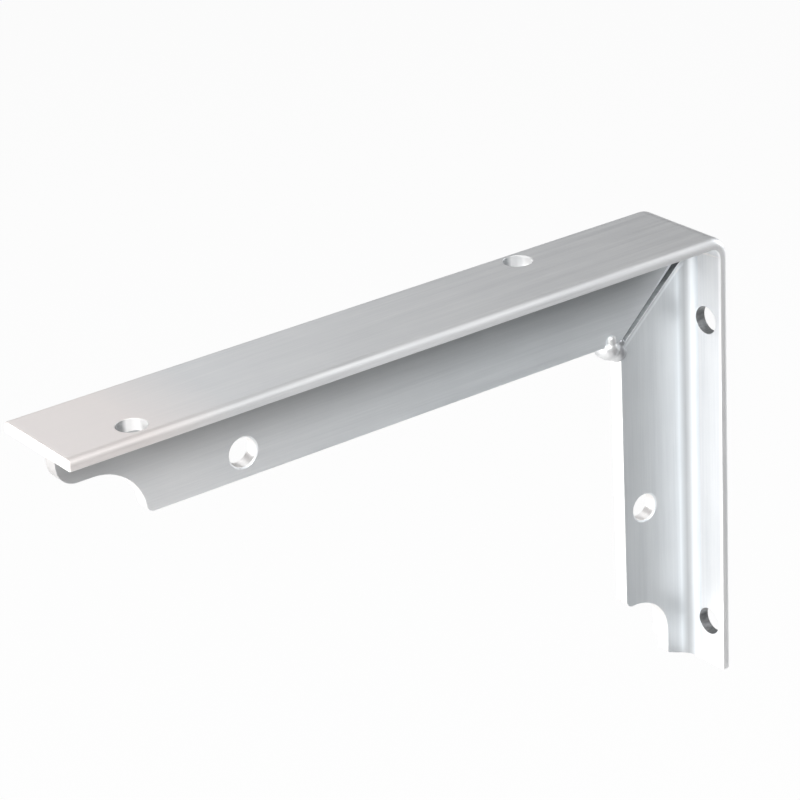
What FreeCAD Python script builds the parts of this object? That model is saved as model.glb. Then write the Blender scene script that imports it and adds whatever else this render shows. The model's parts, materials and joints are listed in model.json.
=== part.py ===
import FreeCAD, Part
import math
import os

from FreeCAD import Vector

# Right-angle shelf bracket made from one T-section bar, in millimetres.
# The wall face is at X = 0 and the arm runs towards -X, with the shelf face on top.
# The web lies on Y = 0, and the origin is on the wall face midway between its two screws.
# Each shape is drawn from the bracket's outer corner and moved up to the origin at the end.

armLength = 150.0
legLength = 97.3
flangeWidth = 22.5
flangeThickness = 2.3
webThickness = 3.2
webDepth = 20.2

rootRadius = 3.0
edgeRadius = 1.6
endRadius = 0.35
bendOuterRadius = 4.6

# How far each limb's web stops short of the diagonal where the notched web closes.
# The notch was cut off centre, so near the root the arm's side reaches past the diagonal.
armMitreGapAtRoot = -1.2
armMitreGapAtTip = 0.15
legMitreGapAtRoot = 3.0
legMitreGapAtTip = 1.2

holeDiameter = 5.8
webHoleEdgeBreak = 0.3
flangeHoleEdgeBreak = 0.1

armWebHoleFromEnd = 40.5
armWebHoleFromEdge = 5.0
legWebHoleFromEnd = 38.8
legWebHoleFromEdge = 5.4
armFlangeHoleFromEnd = 15.4
armFlangeHolePitch = 95.8
legFlangeHoleFromEnd = 10.0
legFlangeHolePitch = 68.2
armFlangeHoleFromEdge = 4.75
legFlangeHoleFromEdge = 4.45

# The strip is what the scallop leaves of the web at each end.
armStripDepth = 7.5
armStripSetback = 2.2
armStripSlant = 0.3
armStripNose = 4.0
armScallopStart = 9.5
armScallopRadius = 10.2
armScallopCorner = 1.4
legStripDepth = 6.9
legStripSetback = 0.3
legStripSlant = 2.6
legStripNose = 0.6
legScallopStart = 8.6
legScallopRadius = 8.8
legScallopCorner = 1.6

# The weld has a core as thick as the web and three lobes on each side of it.
# Half of each lobe's radius stands proud of the web's face.
weldCoreRadius = 2.2
weldCoreInset = 1.1
weldProudShare = 0.5
weldStartRadius = 1.1
weldStartInset = 2.35
weldStartDrop = -1.1
weldMiddleRadius = 1.9
weldMiddleInset = 2.45
weldMiddleDrop = 1.0
weldEndRadius = 1.7
weldEndInset = 0.4
weldEndDrop = 2.15

# How far separate shapes run into each other, or past a face, before they are joined or cut.
overlap = 0.8
# Points closer than this count as one.
sameSpot = 0.0001


def armPoint(along, depth):
    return Vector(-armLength + along, 0, -depth)


def legPoint(along, depth):
    return Vector(-depth, 0, -legLength + along)


def polygonEdges(points):
    return [Part.LineSegment(points[i], points[i + 1]).toShape() for i in range(len(points) - 1)]


def roundedCorner(before, corner, after, radius):
    # Two tangent points and the middle of the arc between them.
    toBefore = (before - corner).normalize()
    toAfter = (after - corner).normalize()
    halfAngle = toBefore.getAngle(toAfter) / 2
    reach = radius / math.tan(halfAngle)
    bisector = (toBefore + toAfter).normalize()
    centre = corner + bisector * (radius / math.sin(halfAngle))
    middle = centre - bisector * radius
    return corner + toBefore * reach, middle, corner + toAfter * reach


def outlineFace(corners):
    # Each corner is a point and the radius that rounds it.
    edges = []
    count = len(corners)
    starts = []
    for i in range(count):
        point, radius = corners[i]
        if radius > 0:
            before = corners[i - 1][0]
            after = corners[(i + 1) % count][0]
            first, middle, last = roundedCorner(before, point, after, radius)
            edges.append(Part.Arc(first, middle, last).toShape())
            starts.append((first, last))
        else:
            starts.append((point, point))
    for i in range(count):
        leaving = starts[i][1]
        arriving = starts[(i + 1) % count][0]
        if leaving.distanceToPoint(arriving) > sameSpot:
            edges.append(Part.LineSegment(leaving, arriving).toShape())
    return Part.Face(Part.Wire(Part.__sortEdges__(edges)))


def makeFlange():
    # One strip bent square, with its outer edges and outer ends rounded.
    inner = flangeThickness
    corners = [
        (Vector(-armLength, 0, 0), 0),
        (Vector(0, 0, 0), bendOuterRadius),
        (Vector(0, 0, -legLength), 0),
        (Vector(-inner, 0, -legLength), 0),
        (Vector(-inner, 0, -inner), bendOuterRadius - inner),
        (Vector(-armLength, 0, -inner), 0),
    ]
    face = outlineFace(corners)
    face.translate(Vector(0, -flangeWidth / 2, 0))
    strip = face.extrude(Vector(0, flangeWidth, 0))
    return roundEnds(roundLongEdges(strip))


def onOuterFace(edge):
    # True for an edge that lies on the shelf face, the wall face or the bend between them.
    for vertex in edge.Vertexes:
        point = vertex.Point
        if min(abs(point.x), abs(point.z)) > sameSpot:
            return False
    return True


def roundLongEdges(strip):
    chosen = []
    for edge in strip.Edges:
        ys = [abs(vertex.Point.y) for vertex in edge.Vertexes]
        atSide = min(ys) > flangeWidth / 2 - sameSpot
        sameSide = abs(edge.Vertexes[0].Point.y - edge.Vertexes[-1].Point.y) < sameSpot
        if atSide and sameSide and onOuterFace(edge):
            chosen.append(edge)
    return strip.makeFillet(edgeRadius, chosen)


def roundEnds(strip):
    chosen = []
    for edge in strip.Edges:
        box = edge.BoundBox
        atArmEnd = box.XMax < -armLength + sameSpot and box.ZMin > -sameSpot
        atLegEnd = box.ZMax < -legLength + sameSpot and box.XMin > -sameSpot
        if atArmEnd or atLegEnd:
            chosen.append(edge)
    return strip.makeFillet(endRadius, chosen)


def sectionFace(place):
    # Web and both root fillets across the bar, laid out at the limb's free end.
    half = webThickness / 2
    root = flangeThickness
    toe = half + rootRadius
    sink = root - overlap
    bend = rootRadius * (1 - math.sqrt(0.5))

    def at(y, depth):
        point = place(0, depth)
        return Vector(point.x, y, point.z)

    def fillet(side):
        start = at(side * half, root + rootRadius)
        middle = at(side * (half + bend), root + bend)
        return Part.Arc(start, middle, at(side * toe, root)).toShape()

    past = webDepth + overlap
    edges = polygonEdges([
        at(-half, root + rootRadius),
        at(-half, past),
        at(half, past),
        at(half, root + rootRadius),
    ])
    edges += polygonEdges([at(toe, root), at(toe, sink), at(-toe, sink), at(-toe, root)])
    edges += [fillet(1), fillet(-1)]
    return Part.Face(Part.Wire(Part.__sortEdges__(edges)))


def scallopEdges(place, strip, end):
    # The scallop's arc, and the rounding that leads from it into the web's free edge.
    radius = end["scallopRadius"]
    corner = end["scallopCorner"]
    start = end["scallopStart"]
    centre = strip + radius
    cornerCentre = webDepth - corner
    rise = math.asin((centre - cornerCentre) / (radius + corner))
    run = (radius + corner) * math.cos(rise)
    upward = math.pi / 2

    def arc(along, depth, reach, first, last):
        turns = [first, (first + last) / 2, last]
        points = [place(along + reach * math.cos(turn), depth - reach * math.sin(turn)) for turn in turns]
        return Part.Arc(*points).toShape()

    return [
        arc(start, centre, radius, upward, rise),
        arc(start + run, cornerCentre, corner, rise - math.pi, -upward),
    ]


def webOutline(place, length, end):
    # Side view of one limb's web: the strip, the scallop, the free edge and the mitre.
    root = flangeThickness
    sink = root - overlap
    strip = root + end["depth"]
    mitreDepth = bendOuterRadius - (bendOuterRadius - root) / math.sqrt(2)
    toe = place(end["setback"], root)
    nose = place(end["setback"] + end["slant"], strip)
    scallop = scallopEdges(place, strip, end)
    scallopStart = place(end["scallopStart"], strip)
    scallopEnd = scallop[-1].Vertexes[-1].Point
    rounding = roundedCorner(toe, nose, scallopStart, end["nose"])
    edges = polygonEdges([
        scallopEnd,
        place(length - webDepth - end["gapAtTip"], webDepth),
        place(length - mitreDepth - end["gapAtRoot"], mitreDepth),
        place(length - bendOuterRadius, sink),
        place(end["setback"], sink),
        toe,
        rounding[0],
    ])
    edges.append(Part.Arc(*rounding).toShape())
    edges += polygonEdges([rounding[-1], scallopStart])
    return Part.Face(Part.Wire(Part.__sortEdges__(edges + scallop)))


def makeLimb(place, length, end):
    along = place(1, 0) - place(0, 0)
    bar = sectionFace(place).extrude(along * length)
    outline = webOutline(place, length, end)
    outline.translate(Vector(0, -flangeWidth / 2, 0))
    return bar.common(outline.extrude(Vector(0, flangeWidth, 0)))


def edgeBreak(face, inward, width):
    # A cone that takes the sharp edge off a hole; the face point is on the hole's axis.
    radius = holeDiameter / 2
    return Part.makeCone(radius + width + overlap, radius, width + overlap, face - inward * overlap, inward)


def webHole(place, along, fromEdge):
    across = Vector(0, 1, 0)
    nearFace = place(along, webDepth - fromEdge) - across * (webThickness / 2)
    farFace = nearFace + across * webThickness
    length = webThickness + 2 * overlap
    tool = Part.makeCylinder(holeDiameter / 2, length, nearFace - across * overlap, across)
    nearBreak = edgeBreak(nearFace, across, webHoleEdgeBreak)
    farBreak = edgeBreak(farFace, -across, webHoleEdgeBreak)
    return tool.fuse([nearBreak, farBreak])


def flangeHole(place, along, side, fromEdge):
    # Long enough to clear the root fillet, which the inner edge of the hole cuts into.
    inward = (place(0, 1) - place(0, 0)).normalize()
    outside = place(along, 0) + Vector(0, side * (flangeWidth / 2 - fromEdge), 0)
    length = flangeThickness + rootRadius + 2 * overlap
    tool = Part.makeCylinder(holeDiameter / 2, length, outside - inward * overlap, inward)
    return tool.fuse(edgeBreak(outside, inward, flangeHoleEdgeBreak))


def allHoles():
    # The side is -1 towards the viewer and +1 away, as the flange holes are staggered about the web.
    armSecondHole = armFlangeHoleFromEnd + armFlangeHolePitch
    legSecondHole = legFlangeHoleFromEnd + legFlangeHolePitch
    return [
        webHole(armPoint, armWebHoleFromEnd, armWebHoleFromEdge),
        webHole(legPoint, legWebHoleFromEnd, legWebHoleFromEdge),
        flangeHole(armPoint, armFlangeHoleFromEnd, -1, armFlangeHoleFromEdge),
        flangeHole(armPoint, armSecondHole, 1, armFlangeHoleFromEdge),
        flangeHole(legPoint, legFlangeHoleFromEnd, -1, legFlangeHoleFromEdge),
        flangeHole(legPoint, legSecondHole, -1, legFlangeHoleFromEdge),
    ]


def armEnd():
    return {
        "depth": armStripDepth,
        "setback": armStripSetback,
        "slant": armStripSlant,
        "nose": armStripNose,
        "scallopStart": armScallopStart,
        "scallopRadius": armScallopRadius,
        "scallopCorner": armScallopCorner,
        "gapAtRoot": armMitreGapAtRoot,
        "gapAtTip": armMitreGapAtTip,
    }


def legEnd():
    return {
        "depth": legStripDepth,
        "setback": legStripSetback,
        "slant": legStripSlant,
        "nose": legStripNose,
        "scallopStart": legScallopStart,
        "scallopRadius": legScallopRadius,
        "scallopCorner": legScallopCorner,
        "gapAtRoot": legMitreGapAtRoot,
        "gapAtTip": legMitreGapAtTip,
    }


def makeBar():
    arm = makeLimb(armPoint, armLength, armEnd())
    leg = makeLimb(legPoint, legLength, legEnd())
    bar = makeFlange().fuse([arm, leg]).removeSplitter()
    return bar.cut(allHoles())


def weldLobe(side, inset, drop, radius):
    # A round lobe that stands proud of the web's face, in from the leg's edge and down from the arm's.
    across = side * (webThickness / 2 - radius * (1 - weldProudShare))
    return Part.makeSphere(radius, Vector(-webDepth - inset, across, -webDepth - drop))


def makeWeld(bar):
    # The bead at the inner corner of the web, which closes the mitre.
    inner = -webDepth - weldCoreInset
    bead = Part.makeCylinder(
        weldCoreRadius,
        webThickness,
        Vector(inner, -webThickness / 2, inner),
        Vector(0, 1, 0),
    )
    for side in (-1, 1):
        bead = bead.fuse(weldLobe(side, weldStartInset, weldStartDrop, weldStartRadius))
        bead = bead.fuse(weldLobe(side, weldMiddleInset, weldMiddleDrop, weldMiddleRadius))
        bead = bead.fuse(weldLobe(side, weldEndInset, weldEndDrop, weldEndRadius))
    return bead.cut(bar)


def biggestSolid(shape):
    return max(shape.Solids, key=lambda solid: solid.Volume)


def shelfHeight():
    return legLength - legFlangeHoleFromEnd - legFlangeHolePitch / 2


def writeParts():
    os.makedirs("parts", exist_ok=True)
    bar = makeBar()
    weld = makeWeld(bar)
    pieces = {"bent_t_bar": bar, "corner_weld": weld}
    for name, shape in pieces.items():
        solid = biggestSolid(shape)
        solid.translate(Vector(0, 0, shelfHeight()))
        solid.exportStep("parts/" + name + ".step")
        box = solid.BoundBox
        print(name, len(shape.Solids), solid.isValid(), round(solid.Volume, 1))
        print([round(v, 3) for v in (box.XMin, box.YMin, box.ZMin, box.XMax, box.YMax, box.ZMax)])


writeParts()
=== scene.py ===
import bpy
import json
import math
from mathutils import Matrix, Vector

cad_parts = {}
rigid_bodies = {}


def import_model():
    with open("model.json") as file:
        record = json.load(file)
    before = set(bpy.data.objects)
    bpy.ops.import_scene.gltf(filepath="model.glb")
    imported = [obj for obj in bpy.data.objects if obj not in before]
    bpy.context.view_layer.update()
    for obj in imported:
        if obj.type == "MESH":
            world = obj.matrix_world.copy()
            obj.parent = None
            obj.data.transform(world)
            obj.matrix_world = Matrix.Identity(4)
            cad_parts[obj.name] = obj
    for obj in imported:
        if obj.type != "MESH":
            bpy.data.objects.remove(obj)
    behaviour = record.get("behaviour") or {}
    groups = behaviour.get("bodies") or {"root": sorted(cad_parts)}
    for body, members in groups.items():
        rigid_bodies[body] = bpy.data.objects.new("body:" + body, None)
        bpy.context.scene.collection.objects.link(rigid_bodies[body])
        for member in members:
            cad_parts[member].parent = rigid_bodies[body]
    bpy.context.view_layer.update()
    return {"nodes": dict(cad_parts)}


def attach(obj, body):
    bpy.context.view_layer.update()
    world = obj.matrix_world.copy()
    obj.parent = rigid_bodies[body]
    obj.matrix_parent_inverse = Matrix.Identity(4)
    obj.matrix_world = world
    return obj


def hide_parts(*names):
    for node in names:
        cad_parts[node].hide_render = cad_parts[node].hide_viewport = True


# A shelf bracket bent from T-section aluminium and welded at the inner corner, in metres.
# The wall face is at X = 0, the arm runs towards -X and the shelf face is on top.

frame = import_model()
nodes = frame["nodes"]

barShape = {
    "legBottom": -0.0441,
    "shelfTop": 0.0532,
    "armTip": -0.150,
    "flange": 0.0023,    # thickness
    "faceRoom": 0.0002,    # a tone of the arm's flange reaches this far past its inner face
}
shelfInner = barShape["shelfTop"] - barShape["flange"]    # Z of the inner face of the arm's flange
wallInner = -barShape["flange"]    # X of the inner face of the leg's flange


# Small helpers

def selectOnly(obj):
    for other in bpy.context.view_layer.objects:
        other.select_set(False)
    bpy.context.view_layer.objects.active = obj
    obj.select_set(True)


def applyModifier(piece, name, kind, **values):
    made = piece.modifiers.new(name, kind)
    for key, value in values.items():
        setattr(made, key, value)
    bpy.ops.object.modifier_apply(modifier=name)


def newMaterial(name):
    material = bpy.data.materials.new(name)
    material.use_nodes = True
    material.node_tree.nodes.clear()
    return material, material.node_tree


def addNode(tree, kind, **values):
    made = tree.nodes.new(kind)
    for key, value in values.items():
        setattr(made, key, value)
    return made


def link(tree, source, target):
    tree.links.new(source, target)


def feed(tree, value, target):
    # A fixed value is set on the input, anything else is linked to it.
    if isinstance(value, (float, tuple)):
        target.default_value = value
    else:
        link(tree, value, target)


def combine(tree, operation, first, second=0.0):
    made = addNode(tree, "ShaderNodeMath", operation=operation)
    feed(tree, first, made.inputs[0])
    feed(tree, second, made.inputs[1])
    return made.outputs[0]


def mapped(tree, value, source, target=(0.0, 1.0), shape="LINEAR"):
    # One range of values turned into another, and held at its ends.
    made = addNode(tree, "ShaderNodeMapRange", interpolation_type=shape)
    made.inputs["From Min"].default_value, made.inputs["From Max"].default_value = source
    made.inputs["To Min"].default_value, made.inputs["To Max"].default_value = target
    link(tree, value, made.inputs["Value"])
    return made.outputs["Result"]


def mixValues(tree, factor, first, second):
    made = addNode(tree, "ShaderNodeMix", data_type="FLOAT")
    link(tree, factor, made.inputs[0])
    feed(tree, first, made.inputs[2])
    feed(tree, second, made.inputs[3])
    return made.outputs[0]


def mixColours(tree, factor, first, second, blend="MIX"):
    made = addNode(tree, "ShaderNodeMix", data_type="RGBA", blend_type=blend)
    link(tree, factor, made.inputs[0])
    feed(tree, first, made.inputs[6])
    feed(tree, second, made.inputs[7])
    return made.outputs[2]


def scaled(tree, colour, factor):
    made = addNode(tree, "ShaderNodeVectorMath", operation="SCALE")
    link(tree, colour, made.inputs[0])
    link(tree, factor, made.inputs["Scale"])
    return made.outputs[0]


def stretched(tree, vector, factors):
    made = addNode(tree, "ShaderNodeVectorMath", operation="MULTIPLY")
    link(tree, vector, made.inputs[0])
    made.inputs[1].default_value = factors
    return made.outputs[0]


def noiseAt(tree, vector, scale, detail, rough):
    made = addNode(tree, "ShaderNodeTexNoise")
    made.inputs["Scale"].default_value = scale
    made.inputs["Detail"].default_value = detail
    made.inputs["Roughness"].default_value = rough
    link(tree, vector, made.inputs["Vector"])
    return made.outputs["Fac"]


def objectPlace(tree):
    # Object coordinates, whole and split into X, Y and Z.
    place = addNode(tree, "ShaderNodeTexCoord").outputs["Object"]
    split = addNode(tree, "ShaderNodeSeparateXYZ")
    link(tree, place, split.inputs[0])
    return place, split.outputs


def newMetal(name, metallic):
    # A material with nothing but a Principled shader on its surface.
    material, tree = newMaterial(name)
    output = addNode(tree, "ShaderNodeOutputMaterial")
    shader = addNode(tree, "ShaderNodeBsdfPrincipled")
    shader.inputs["Metallic"].default_value = metallic
    link(tree, shader.outputs[0], output.inputs["Surface"])
    return material, tree, shader


def addBump(tree, shader, height, strength, depth):
    bump = addNode(tree, "ShaderNodeBump")
    bump.inputs["Strength"].default_value = strength
    bump.inputs["Distance"].default_value = depth
    link(tree, height, bump.inputs["Height"])
    link(tree, bump.outputs["Normal"], shader.inputs["Normal"])
    return bump


# Camera, placed where the photo was taken from

camera = {
    "place": (-0.357827, -0.403360, 0.259397),
    "right": (0.80155815, -0.59549136, -0.05380123),
    "up": (0.28504663, 0.30148129, 0.90986672),
    "forward": (0.52559771, 0.74464694, -0.41139759),
    "lens": 129.8375,
    "sensor": 36.0,
    "clip": (0.01, 20.0),
}


def makeCamera():
    data = bpy.data.cameras.new("photoCamera")
    obj = bpy.data.objects.new("photoCamera", data)
    bpy.context.scene.collection.objects.link(obj)
    data.sensor_width = camera["sensor"]
    data.lens = camera["lens"]
    data.clip_start, data.clip_end = camera["clip"]
    turn = Matrix([camera["right"], camera["up"], [-v for v in camera["forward"]]]).transposed()
    obj.matrix_world = Matrix.Translation(Vector(camera["place"])) @ turn.to_4x4()
    bpy.context.scene.camera = obj


makeCamera()
bpy.context.scene.view_settings.view_transform = "Standard"
print("stage: camera made")

# Floor, world and lamps

studio = {
    "floorColour": (0.86, 0.86, 0.86, 1),
    "floorDrop": 0.22,    # from the bottom of the leg down to the floor
    "floorSize": 14.0,
    "white": (1, 1, 1, 1),
    "floorWhite": 0.95,    # how much of the floor shines white where the camera sees it
    "whiteRange": (0.0, 0.20),    # Y between which it turns white where a surface mirrors it
    "worldFill": 0.13,
    "lamps": [
        # name, place, size across, size up, power, colour
        ("keyLeft", (-0.60, -0.72, 0.78), 0.60, 0.60, 5.2, (1.0, 0.985, 0.975)),
        ("keyFront", (-0.15, -0.85, 0.85), 0.60, 0.60, 6.4, (0.985, 0.995, 1.0)),
        ("topLeft", (-0.85, -0.20, 0.75), 0.60, 0.60, 3.8, (1.0, 0.97, 0.95)),
        ("left", (-1.15, -0.25, 0.12), 0.60, 0.50, 4.0, (1.0, 0.985, 0.97)),
        ("leftBack", (-0.95, 0.50, 0.05), 0.60, 0.50, 5.4, (0.98, 0.995, 1.0)),
        ("back", (0.10, 0.80, 0.80), 0.70, 0.70, 2.0, (0.97, 0.985, 1.0)),
        ("right", (1.00, -0.20, 0.30), 0.60, 0.60, 4.0, (0.94, 0.97, 1.0)),
    ],
    "lampAim": (-0.07, 0.0, 0.0),
    "cardPlace": (0.22, -0.235, -0.15),
    "cardSize": (0.34, 0.34),
    "cardAim": (-0.05, 0.0, 0.0),
    "cardColour": (0.03, 0.03, 0.03, 1),
}


def aimAt(obj, aim, axis):
    # Turns an object so that its axis points from its place to the aim.
    obj.rotation_mode = "QUATERNION"
    obj.rotation_quaternion = (Vector(aim) - obj.location).to_track_quat(axis, "Y")


def makeFloor():
    # A matt floor, which the camera sees as nearly white.
    bpy.ops.mesh.primitive_plane_add(size=studio["floorSize"])
    floor = bpy.context.active_object
    floor.name = "studioFloor"
    floor.location = (0, 0, barShape["legBottom"] - studio["floorDrop"])
    material, tree = newMaterial("paleFloor")
    output = addNode(tree, "ShaderNodeOutputMaterial")
    lit = addNode(tree, "ShaderNodeBsdfDiffuse")
    lit.inputs["Color"].default_value = studio["floorColour"]
    white = addNode(tree, "ShaderNodeEmission")
    white.inputs["Color"].default_value = studio["white"]
    rays = addNode(tree, "ShaderNodeLightPath").outputs
    _, split = objectPlace(tree)
    mirrored = combine(tree, "MAXIMUM", rays["Is Glossy Ray"], rays["Is Transmission Ray"])
    behind = mapped(tree, split["Y"], studio["whiteRange"], shape="SMOOTHSTEP")
    mirroredBehind = combine(tree, "MULTIPLY", mirrored, behind)
    seen = combine(tree, "MAXIMUM", rays["Is Camera Ray"], mirroredBehind)
    both = addNode(tree, "ShaderNodeMixShader")
    link(tree, combine(tree, "MULTIPLY", seen, studio["floorWhite"]), both.inputs[0])
    link(tree, lit.outputs[0], both.inputs[1])
    link(tree, white.outputs[0], both.inputs[2])
    link(tree, both.outputs[0], output.inputs["Surface"])
    floor.data.materials.append(material)


def makeCard():
    # A dark card that the camera doesn't see gives the web's face its depth.
    bpy.ops.mesh.primitive_plane_add(size=1.0, location=studio["cardPlace"])
    panel = bpy.context.active_object
    panel.name = "darkCard"
    panel.scale = (*studio["cardSize"], 1.0)
    aimAt(panel, studio["cardAim"], "Z")
    material, tree = newMaterial("darkCard")
    output = addNode(tree, "ShaderNodeOutputMaterial")
    dark = addNode(tree, "ShaderNodeBsdfDiffuse")
    dark.inputs["Color"].default_value = studio["cardColour"]
    link(tree, dark.outputs[0], output.inputs["Surface"])
    panel.data.materials.append(material)
    panel.visible_camera = False


def makeWorld():
    world = bpy.data.worlds.new("studioWorld")
    bpy.context.scene.world = world
    world.use_nodes = True
    tree = world.node_tree
    tree.nodes.clear()
    output = addNode(tree, "ShaderNodeOutputWorld")
    sky = addNode(tree, "ShaderNodeBackground")
    sky.inputs["Color"].default_value = studio["white"]
    sky.inputs["Strength"].default_value = studio["worldFill"]
    link(tree, sky.outputs[0], output.inputs["Surface"])


def makeLamps():
    for name, place, sizeX, sizeY, power, colour in studio["lamps"]:
        data = bpy.data.lights.new(name, "AREA")
        data.shape = "RECTANGLE"
        data.size = sizeX
        data.size_y = sizeY
        data.energy = power
        data.color = colour
        lamp = bpy.data.objects.new(name, data)
        bpy.context.scene.collection.objects.link(lamp)
        lamp.location = place
        aimAt(lamp, studio["lampAim"], "-Z")
        lamp.visible_camera = False


makeFloor()
makeCard()
makeWorld()
makeLamps()
print("stage: studio made")

# Brushed metal of the bar, with tints, painted highlights and painted shade that are set by their
# place on it

satin = {
    "dark": (0.73, 0.74, 0.755, 1),
    "light": (0.84, 0.845, 0.85, 1),
    "metallic": 0.75,
    "roughness": (0.46, 0.58),
    "roughGrain": 0.8,    # the grain's value where the metal is roughest
    "coat": (0.25, 0.22),    # weight and roughness
    "grainFine": (60.0, 2400.0),    # changes per metre, along and across a limb
    "grainCoarse": (9.0, 620.0),
    "fineNoise": (1.0, 3.0, 0.6),    # scale, detail and roughness
    "coarseNoise": (1.0, 2.0, 0.5),
    "cloudNoise": (70.0, 2.0, 0.5),
    "grainLimits": (0.3, 0.7),    # noise between these counts from none to all
    "cloudLimits": (0.35, 0.65),
    "fineShare": 0.45,
    "coarseShare": 0.25,
    "cloudShare": 0.20,
    "bump": (0.6, 0.000010),    # strength and depth
    "webReach": 0.0045,    # the web and its root fillets, by distance from the middle plane
    "shadeMost": 1.25,    # the two lists of painted highlight and shade are stored as shares of this
    "rootReach": 0.006,
    "rootPaintedLight": (    # painted highlight and painted shade on the leg's web beside its flange: share of the reach, brightness
        (0.00, 1.00), (0.08, 1.04), (0.125, 0.96), (0.17, 0.83), (0.25, 0.74), (0.34, 0.90),
        (0.42, 1.08), (0.48, 1.19), (0.56, 1.10), (0.65, 1.03), (0.77, 1.00),
    ),
    "underReach": 0.018,
    "underPaintedShade": (    # painted shade on the arm's web below its flange, in the same way
        (0.00, 0.92), (0.16, 0.79), (0.30, 0.67), (0.38, 0.74), (0.54, 0.91), (0.72, 1.04),
        (1.00, 1.07),
    ),
    "wallRange": (-0.0031, -0.0026),    # X where the leg's flange takes over from its web and is painted brighter
    "wallPaintedLight": 1.10,
    "rimRange": (0.0104, 0.0108),    # painted highlight on the flanges' long edges, from the middle plane
    "rimHighlightGain": 1.08,
    "lowRimDrop": (0.0005, 0.0014),    # the painted highlight on the arm's long edges grows brighter downwards
    "lowRimHighlightGain": 1.11,
    "tipRimRange": (-0.085, -0.135),    # and fainter towards the arm's tip
    "tipRimHighlightGain": 0.80,
    "coolTint": (0.968, 1.000, 1.018, 1),    # on the webs, stronger towards the corner
    "coolRange": (-0.125, -0.055),
    "tipTint": (0.94, 0.875, 0.85, 1),    # on the arm's flange near its tip
    "tipRange": (-0.116, -0.134),
    "tipShare": 0.75,
    "sawnEdgeFrom": (-0.00297, 0.04723),    # X and Z of the leg's sawn edge, from root to free edge
    "sawnEdgeTo": (-0.0202, 0.0318),
    "glintOffset": 0.00085,    # a painted highlight, a bright line beside that edge
    "glintRange": (0.00040, 0.00010),    # distances from the line between which the painted highlight fades in
    "burrGain": 0.18,
    "glintHalf": 0.0020,    # it stays this near to the middle plane
}

edge = {
    "radius": 0.00022,
    "samples": 4,
    "turnRange": (0.995, 0.90),    # cosine of the softened normal's turn, from unworn to worn
    "rubNoise": (700.0, 3.0, 0.6),
    "rubLimits": (0.35, 0.60),
    "rubRange": (0.25, 1.0),
    "colour": (0.93, 0.935, 0.94, 1),
    "roughness": 0.32,
}


def edgeWear(tree, place):
    # The softened normal near an edge, and how bright the edge is worn there.
    soft = addNode(tree, "ShaderNodeBevel", samples=edge["samples"])
    soft.inputs["Radius"].default_value = edge["radius"]
    surface = addNode(tree, "ShaderNodeNewGeometry")
    turn = addNode(tree, "ShaderNodeVectorMath", operation="DOT_PRODUCT")
    link(tree, soft.outputs["Normal"], turn.inputs[0])
    link(tree, surface.outputs["Normal"], turn.inputs[1])
    close = mapped(tree, turn.outputs["Value"], edge["turnRange"])
    rub = noiseAt(tree, place, *edge["rubNoise"])
    rubbed = mapped(tree, rub, edge["rubLimits"], edge["rubRange"])
    return soft.outputs["Normal"], combine(tree, "MULTIPLY", close, rubbed)


def limbPlace(tree, place, split, along, across):
    # Object coordinates stretched along whichever limb a point is on.
    drop = combine(tree, "SUBTRACT", split["Z"], barShape["shelfTop"])
    onArm = combine(tree, "LESS_THAN", split["X"], drop)
    pick = addNode(tree, "ShaderNodeMix", data_type="VECTOR")
    link(tree, onArm, pick.inputs["Factor"])
    link(tree, stretched(tree, place, (across, across, along)), pick.inputs[4])
    link(tree, stretched(tree, place, (along, across, across)), pick.inputs[5])
    return pick.outputs[1]


def grainTone(tree, place, split):
    # The brushed grain, and the same with soft clouds added.
    finePlace = limbPlace(tree, place, split, *satin["grainFine"])
    coarsePlace = limbPlace(tree, place, split, *satin["grainCoarse"])
    fine = noiseAt(tree, finePlace, *satin["fineNoise"])
    coarse = noiseAt(tree, coarsePlace, *satin["coarseNoise"])
    cloud = noiseAt(tree, place, *satin["cloudNoise"])
    finePart = mapped(tree, fine, satin["grainLimits"], (0.0, satin["fineShare"]))
    coarsePart = mapped(tree, coarse, satin["grainLimits"], (0.0, satin["coarseShare"]))
    cloudPart = mapped(tree, cloud, satin["cloudLimits"], (0.0, satin["cloudShare"]))
    grain = combine(tree, "ADD", finePart, coarsePart)
    return grain, combine(tree, "ADD", grain, cloudPart)


def tintMetal(tree, split, aside, metal):
    # The webs a little cooler than the flanges, and the arm's flange warmer near its tip.
    onShelf = combine(tree, "GREATER_THAN", split["Z"], shelfInner - barShape["faceRoom"])
    onWall = combine(tree, "GREATER_THAN", split["X"], wallInner)
    onFlange = combine(tree, "MAXIMUM", combine(tree, "MAXIMUM", onShelf, onWall), aside)
    onWeb = combine(tree, "SUBTRACT", 1.0, onFlange)
    cool = combine(tree, "MULTIPLY", onWeb, mapped(tree, split["X"], satin["coolRange"]))
    cooled = mixColours(tree, cool, metal, satin["coolTint"], "MULTIPLY")
    warm = mapped(tree, split["X"], satin["tipRange"], (0.0, satin["tipShare"]))
    return mixColours(tree, combine(tree, "MULTIPLY", onShelf, warm), cooled, satin["tipTint"])


def shadeRamp(tree, depth, reach, shades):
    ramp = addNode(tree, "ShaderNodeValToRGB")
    while len(ramp.color_ramp.elements) < len(shades):
        ramp.color_ramp.elements.new(1.0)
    for element, (share, shade) in zip(ramp.color_ramp.elements, shades):
        element.position = share
        element.color = [shade / satin["shadeMost"]] * 3 + [1]
    link(tree, mapped(tree, depth, (0.0, reach)), ramp.inputs[0])
    return combine(tree, "MULTIPLY", ramp.outputs[0], satin["shadeMost"])


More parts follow.
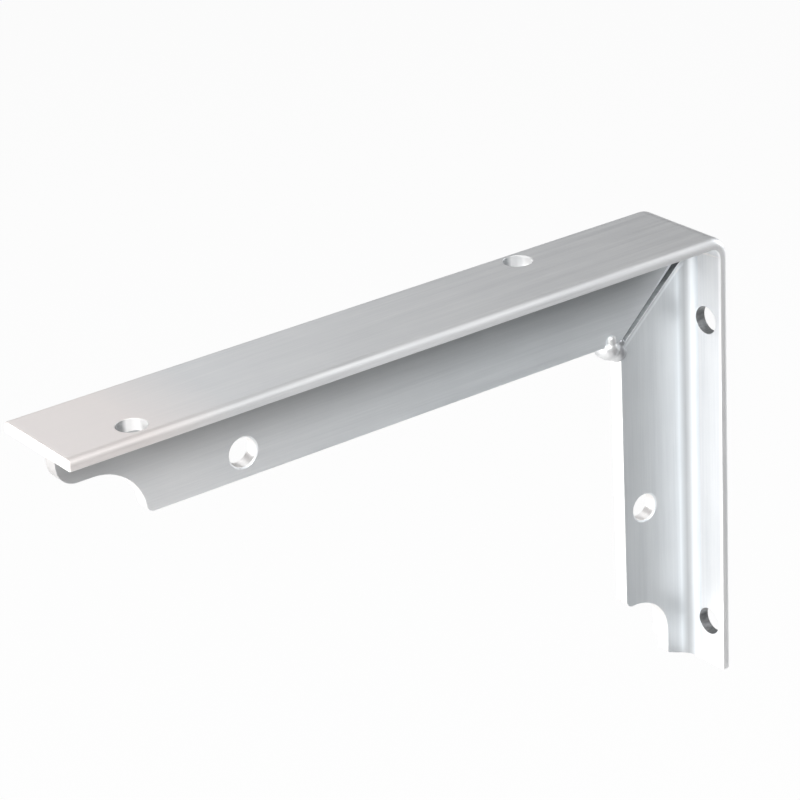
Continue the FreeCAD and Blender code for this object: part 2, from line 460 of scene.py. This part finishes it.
def paintedWebShade(tree, split, aside):
    # Painted highlight and painted shade in lines on the leg's web beside its flange, and painted
    # shade in a darker zone on the arm's web below its own.
    underShelf = combine(tree, "SUBTRACT", shelfInner, split["Z"])
    underWall = combine(tree, "SUBTRACT", wallInner, split["X"])
    onArm = combine(tree, "GREATER_THAN", underWall, underShelf)
    root = shadeRamp(tree, underWall, satin["rootReach"], satin["rootPaintedLight"])
    under = shadeRamp(tree, underShelf, satin["underReach"], satin["underPaintedShade"])
    onFace = combine(tree, "MAXIMUM", combine(tree, "LESS_THAN", underShelf, 0.0), aside)
    return mixValues(tree, onFace, mixValues(tree, onArm, root, under), 1.0)


def rimPaintedHighlight(tree, split, fromMiddle):
    # Painted highlight on the flanges' long edges, brighter than their faces.
    lowRange = [barShape["shelfTop"] - drop for drop in satin["lowRimDrop"]]
    lowGain = satin["rimHighlightGain"] * satin["lowRimHighlightGain"]
    gain = mapped(tree, split["Z"], lowRange, (satin["rimHighlightGain"], lowGain))
    atTip = mapped(tree, split["X"], satin["tipRimRange"], (1.0, satin["tipRimHighlightGain"]))
    onRim = mapped(tree, fromMiddle, satin["rimRange"])
    return mixValues(tree, onRim, 1.0, combine(tree, "MULTIPLY", gain, atTip))


def paintedGlintLine(tree, split, fromMiddle):
    # A painted highlight: a bright line on the leg's web, along its side of the notch.
    fromX, fromZ = satin["sawnEdgeFrom"]
    toX, toZ = satin["sawnEdgeTo"]
    length = math.hypot(toX - fromX, toZ - fromZ)
    acrossX, acrossZ = (toZ - fromZ) / length, (fromX - toX) / length
    lineAt = acrossX * fromX + acrossZ * fromZ - satin["glintOffset"]
    partX = combine(tree, "MULTIPLY", split["X"], acrossX)
    partZ = combine(tree, "MULTIPLY", split["Z"], acrossZ)
    away = combine(tree, "SUBTRACT", combine(tree, "ADD", partX, partZ), lineAt)
    near = combine(tree, "ABSOLUTE", away)
    line = mapped(tree, near, satin["glintRange"], (0.0, satin["burrGain"]))
    inMiddle = combine(tree, "LESS_THAN", fromMiddle, satin["glintHalf"])
    offWall = combine(tree, "LESS_THAN", split["X"], wallInner)
    shown = combine(tree, "MULTIPLY", inMiddle, offWall)
    return combine(tree, "ADD", combine(tree, "MULTIPLY", line, shown), 1.0)


def makeSatin():
    material, tree, shader = newMetal("satinAluminium", satin["metallic"])
    coatWeight, coatRoughness = satin["coat"]
    shader.inputs["Coat Weight"].default_value = coatWeight
    shader.inputs["Coat Roughness"].default_value = coatRoughness
    place, split = objectPlace(tree)
    grain, tone = grainTone(tree, place, split)
    softNormal, worn = edgeWear(tree, place)
    fromMiddle = combine(tree, "ABSOLUTE", split["Y"])
    aside = combine(tree, "GREATER_THAN", fromMiddle, satin["webReach"])
    # Painted light and shade by place: lines and a darker zone on the webs, a brighter leg flange,
    # highlights on the rims and beside the notch.
    wall = mapped(tree, split["X"], satin["wallRange"], (1.0, satin["wallPaintedLight"]))
    shade = combine(tree, "MULTIPLY", paintedWebShade(tree, split, aside), wall)
    shade = combine(tree, "MULTIPLY", shade, rimPaintedHighlight(tree, split, fromMiddle))
    shade = combine(tree, "MULTIPLY", shade, paintedGlintLine(tree, split, fromMiddle))
    metal = mixColours(tree, tone, satin["dark"], satin["light"])
    shaded = scaled(tree, tintMetal(tree, split, aside, metal), shade)
    rough = mapped(tree, grain, (0.0, satin["roughGrain"]), satin["roughness"])
    link(tree, mixColours(tree, worn, shaded, edge["colour"]), shader.inputs["Base Color"])
    link(tree, mixValues(tree, worn, rough, edge["roughness"]), shader.inputs["Roughness"])
    bump = addBump(tree, shader, grain, *satin["bump"])
    link(tree, softNormal, bump.inputs["Normal"])
    return material


# Sawn and punched metal, with painted shade in the holes, in the notch and on the arm's sawn end
# below its flange, and a painted highlight in the arm's holes

cut = {
    "dark": (0.89, 0.870, 0.86, 1),
    "light": (0.97, 0.955, 0.945, 1),
    "metallic": 0.75,
    "roughness": (0.36, 0.52),
    "marks": (900.0, 2600.0, 900.0),    # changes per metre in X, Y and Z
    "markNoise": (1.0, 3.0, 0.6),
    "markLimits": (0.3, 0.7),
    "stripPaintedShade": 0.70,    # painted shade: brightness of the arm's sawn end below its flange
    "stripFrom": -0.139,
    "bump": (0.5, 0.000015),
}

punched = {
    # dark and light are painted shade on the walls of the flange holes
    "dark": (0.28, 0.29, 0.30, 1),
    "light": (0.50, 0.51, 0.52, 1),
    "paintedHighlight": (0.93, 0.93, 0.93, 1),    # painted highlight on the side of the arm's holes towards the corner
    "holeX": -0.1346,    # the hole near the arm's tip
    "holePitch": 0.0958,    # and from it to the next one
    "highlightRange": (-0.0004, 0.0006),    # from a hole's middle
    "armFrom": -0.0046,    # the leg's holes lie on the other side of this X
}


def paintedHoleHighlight(tree, split, colour):
    # Painted highlight: one side of the arm's holes is brighter.
    middle, half = punched["holeX"], punched["holePitch"] / 2
    inHole = addNode(tree, "ShaderNodeMath", operation="WRAP")
    link(tree, split["X"], inHole.inputs[0])
    inHole.inputs[1].default_value = middle + half
    inHole.inputs[2].default_value = middle - half
    sides = [middle + offset for offset in punched["highlightRange"]]
    share = mapped(tree, inHole.outputs[0], sides)
    onArm = combine(tree, "LESS_THAN", split["X"], punched["armFrom"])
    return mixColours(tree, combine(tree, "MULTIPLY", share, onArm), colour, punched["paintedHighlight"])


def makeCut(name, colours):
    material, tree, shader = newMetal(name, cut["metallic"])
    place, split = objectPlace(tree)
    marks = noiseAt(tree, stretched(tree, place, cut["marks"]), *cut["markNoise"])
    tone = mapped(tree, marks, cut["markLimits"])
    metal = mixColours(tree, tone, colours["dark"], colours["light"])
    if "paintedHighlight" in colours:
        metal = paintedHoleHighlight(tree, split, metal)
    # Painted shade on the arm's sawn end below its flange.
    below = combine(tree, "LESS_THAN", split["Z"], shelfInner - barShape["faceRoom"])
    atTip = combine(tree, "LESS_THAN", split["X"], cut["stripFrom"])
    onStrip = combine(tree, "MULTIPLY", below, atTip)
    shade = mapped(tree, onStrip, (0.0, 1.0), (1.0, cut["stripPaintedShade"]))
    link(tree, scaled(tree, metal, shade), shader.inputs["Base Color"])
    link(tree, mapped(tree, tone, (0.0, 1.0), cut["roughness"]), shader.inputs["Roughness"])
    addBump(tree, shader, tone, *cut["bump"])
    return material


slit = {
    "dark": (0.050, 0.056, 0.062, 1),
    "light": (0.50, 0.53, 0.55, 1),
    "metallic": 0.3,
    "roughness": 0.75,
    "blotchNoise": (420.0, 4.0, 0.65),
    "blotchLimits": (0.35, 0.65),
    "blotchShare": 0.4,
    "lighterRange": (0.0478, 0.0410),    # Z between which the painted shade in the notch grows lighter downwards
    "lighterShare": 0.6,
}


def makeSlit():
    # Painted shade: the sawn faces inside the closed notch are dark, in blotches, and lighter
    # lower down.
    material, tree, shader = newMetal("slitPaintedShade", slit["metallic"])
    shader.inputs["Roughness"].default_value = slit["roughness"]
    place, split = objectPlace(tree)
    blotch = noiseAt(tree, place, *slit["blotchNoise"])
    blotchPart = mapped(tree, blotch, slit["blotchLimits"], (0.0, slit["blotchShare"]))
    lighter = mapped(tree, split["Z"], slit["lighterRange"], (0.0, slit["lighterShare"]))
    tone = combine(tree, "ADD", blotchPart, lighter)
    link(tree, mixColours(tree, tone, slit["dark"], slit["light"]), shader.inputs["Base Color"])
    return material


satinMetal = makeSatin()
cutMetal = makeCut("cutAluminium", cut)
holeWallMetal = makeCut("holeWallPaintedShade", punched)
slitMetal = makeSlit()
print("stage: metals made")

# The bent bar: a copy of its solid, with its cut faces told apart

bar = {
    "mergeGap": 0.000002,
    "smoothAngle": 30.0,
    "normalWeight": 100,
    "flatFrom": 0.99999,    # a face counts as flat when its normal is this near to an axis
    "endReach": 0.0002,    # sawn ends lie this near to the arm's tip or the leg's bottom
    "endTurn": 0.9,    # and their normal points outwards by this much at least
    "outerReach": 0.0001,    # nothing on the shelf face or the wall face is sawn
    "webHalf": 0.0016,    # half the web's thickness
    "sideTurn": 0.2,    # the most that a sawn face's normal points sideways
    "slitEnd": 0.0212,    # the notch ends this far from the wall face and below the shelf face
    "slitTop": 0.8,    # and begins this share of the flange's thickness below the shelf face
    "slitReach": 0.0034,    # its faces lie this near to the mitre line
    "slitHalf": 0.0050,    # and this near to the middle plane
    "slitTurn": 0.3,    # their normals lie between X and Z
    "holeNear": 0.0030,    # the flange's holes lie between these distances from the middle plane
    "holeFar": 0.0098,
    "holeTurn": 0.5,    # the most that their walls' normal points out of the flange
    "endRoom": 0.0005,    # and not this near to a sawn end
}


def copyNode(node, name):
    selectOnly(nodes[node])
    bpy.ops.object.duplicate()
    piece = bpy.context.active_object
    bpy.ops.object.parent_clear(type="CLEAR_KEEP_TRANSFORM")
    piece.name = name
    piece.data.name = name
    piece.data.materials.clear()
    return piece


def mergeLoose(piece):
    selectOnly(piece)
    bpy.ops.object.mode_set(mode="EDIT")
    bpy.ops.mesh.select_all(action="SELECT")
    bpy.ops.mesh.customdata_custom_splitnormals_clear()
    bpy.ops.mesh.remove_doubles(threshold=bar["mergeGap"])
    bpy.ops.object.mode_set(mode="OBJECT")


def isCut(centre, normal):
    # Sawn ends, the scallops, the webs' free edges and the walls of the web holes.
    if centre.x < barShape["armTip"] + bar["endReach"] and normal.x < -bar["endTurn"]:
        return True
    if centre.z < barShape["legBottom"] + bar["endReach"] and normal.z < -bar["endTurn"]:
        return True
    onShelf = centre.z > barShape["shelfTop"] - bar["outerReach"]
    onWall = centre.x > -bar["outerReach"]
    onWebEdge = abs(centre.y) < bar["webHalf"] and abs(normal.y) < bar["sideTurn"]
    return onWebEdge and not onShelf and not onWall


def inSlit(centre, normal):
    # The two sawn faces that look at each other across the closed notch.
    depth = barShape["shelfTop"] - centre.z
    within = barShape["flange"] * bar["slitTop"] < depth < bar["slitEnd"]
    near = centre.x > -bar["slitEnd"] and abs(centre.y) < bar["slitHalf"]
    across = abs(centre.x + depth) < bar["slitReach"]
    return within and near and across and normal.x * normal.z < -bar["slitTurn"]


def inHole(centre, normal):
    # The walls of the holes through the flanges.
    beside = bar["holeNear"] < abs(centre.y) < bar["holeFar"]
    onArm = centre.z > shelfInner and abs(normal.z) < bar["holeTurn"]
    onLeg = centre.x > wallInner and abs(normal.x) < bar["holeTurn"]
    atTip = centre.x < barShape["armTip"] + bar["endRoom"]
    atBottom = centre.z < barShape["legBottom"] + bar["endRoom"]
    return beside and (onArm or onLeg) and not atTip and not atBottom


def metalOf(face):
    if inSlit(face.center, face.normal):
        return slitMetal
    if inHole(face.center, face.normal):
        return holeWallMetal
    if isCut(face.center, face.normal):
        return cutMetal
    return satinMetal


def squareUp(piece):
    # Flat faces keep their own normal, so that no long thin triangle shades like a curve.
    mesh = piece.data
    normals = [corner.vector.copy() for corner in mesh.corner_normals]
    for face in mesh.polygons:
        if max(abs(part) for part in face.normal) > bar["flatFrom"]:
            for corner in face.loop_indices:
                normals[corner] = face.normal.copy()
    mesh.normals_split_custom_set(normals)


def makeBar():
    piece = copyNode("bent_t_bar", "bracketBar")
    mergeLoose(piece)
    metals = [satinMetal, cutMetal, slitMetal, holeWallMetal]
    for metal in metals:
        piece.data.materials.append(metal)
    for face in piece.data.polygons:
        face.material_index = metals.index(metalOf(face))
    bpy.ops.object.shade_smooth_by_angle(angle=math.radians(bar["smoothAngle"]))
    applyModifier(
        piece, "weigh", "WEIGHTED_NORMAL",
        keep_sharp=True, weight=bar["normalWeight"],
    )
    squareUp(piece)
    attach(piece, "root")
    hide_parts("bent_t_bar")
    return piece


bracketBar = makeBar()
print("stage: bar made,", len(bracketBar.data.polygons), "faces")

# The weld bead, made from the solid bead run together into one smooth pool of metal

weld = {
    "voxel": 0.00016,
    "smoothSteps": 60,
    "smoothFactor": 0.5,
    "swell": 0.00042,
    "ripple": 0.00006,
    "rippleSize": 0.0012,
    "dark": (0.36, 0.37, 0.39, 1),
    "light": (0.76, 0.765, 0.77, 1),
    "litSideRange": (-0.0206, -0.0222),    # X where the bead turns from its painted shaded side to its painted lit side
    "litSideShare": 0.75,
    "poolNoise": (650.0, 3.0, 0.55),
    "poolLimits": (0.36, 0.60),
    "poolShare": 0.25,
    "gritNoise": (5200.0, 3.0, 0.6),
    "gritLimits": (0.3, 0.7),
    "metallic": 0.7,
    "roughness": (0.34, 0.50),
    "bump": (0.4, 0.00002),
}


def makeWeldMetal():
    material, tree, shader = newMetal("weldMetal", weld["metallic"])
    place, split = objectPlace(tree)
    pool = noiseAt(tree, place, *weld["poolNoise"])
    grit = noiseAt(tree, place, *weld["gritNoise"])
    # Painted light and shade: the bead is bright on its left side and dark on its right.
    bright = mapped(tree, split["X"], weld["litSideRange"], (0.0, weld["litSideShare"]))
    poolPart = mapped(tree, pool, weld["poolLimits"], (0.0, weld["poolShare"]))
    tone = combine(tree, "ADD", bright, poolPart)
    rough = mapped(tree, grit, weld["gritLimits"], weld["roughness"])
    link(tree, mixColours(tree, tone, weld["dark"], weld["light"]), shader.inputs["Base Color"])
    link(tree, rough, shader.inputs["Roughness"])
    addBump(tree, shader, grit, *weld["bump"])
    return material


def makeWeldBead():
    piece = copyNode("corner_weld", "weldBead")
    mergeLoose(piece)
    applyModifier(piece, "remesh", "REMESH", mode="VOXEL", voxel_size=weld["voxel"])
    applyModifier(
        piece, "smooth", "SMOOTH",
        factor=weld["smoothFactor"], iterations=weld["smoothSteps"],
    )
    applyModifier(piece, "swell", "DISPLACE", mid_level=0.0, strength=weld["swell"])
    clouds = bpy.data.textures.new("weldRipple", "CLOUDS")
    clouds.noise_scale = weld["rippleSize"]
    applyModifier(
        piece, "ripple", "DISPLACE",
        texture=clouds, texture_coords="LOCAL", strength=weld["ripple"],
    )
    piece.data.materials.append(makeWeldMetal())
    bpy.ops.object.shade_smooth()
    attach(piece, "root")
    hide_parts("corner_weld")
    return piece


weldBead = makeWeldBead()
print("stage: weld made,", len(weldBead.data.polygons), "faces")
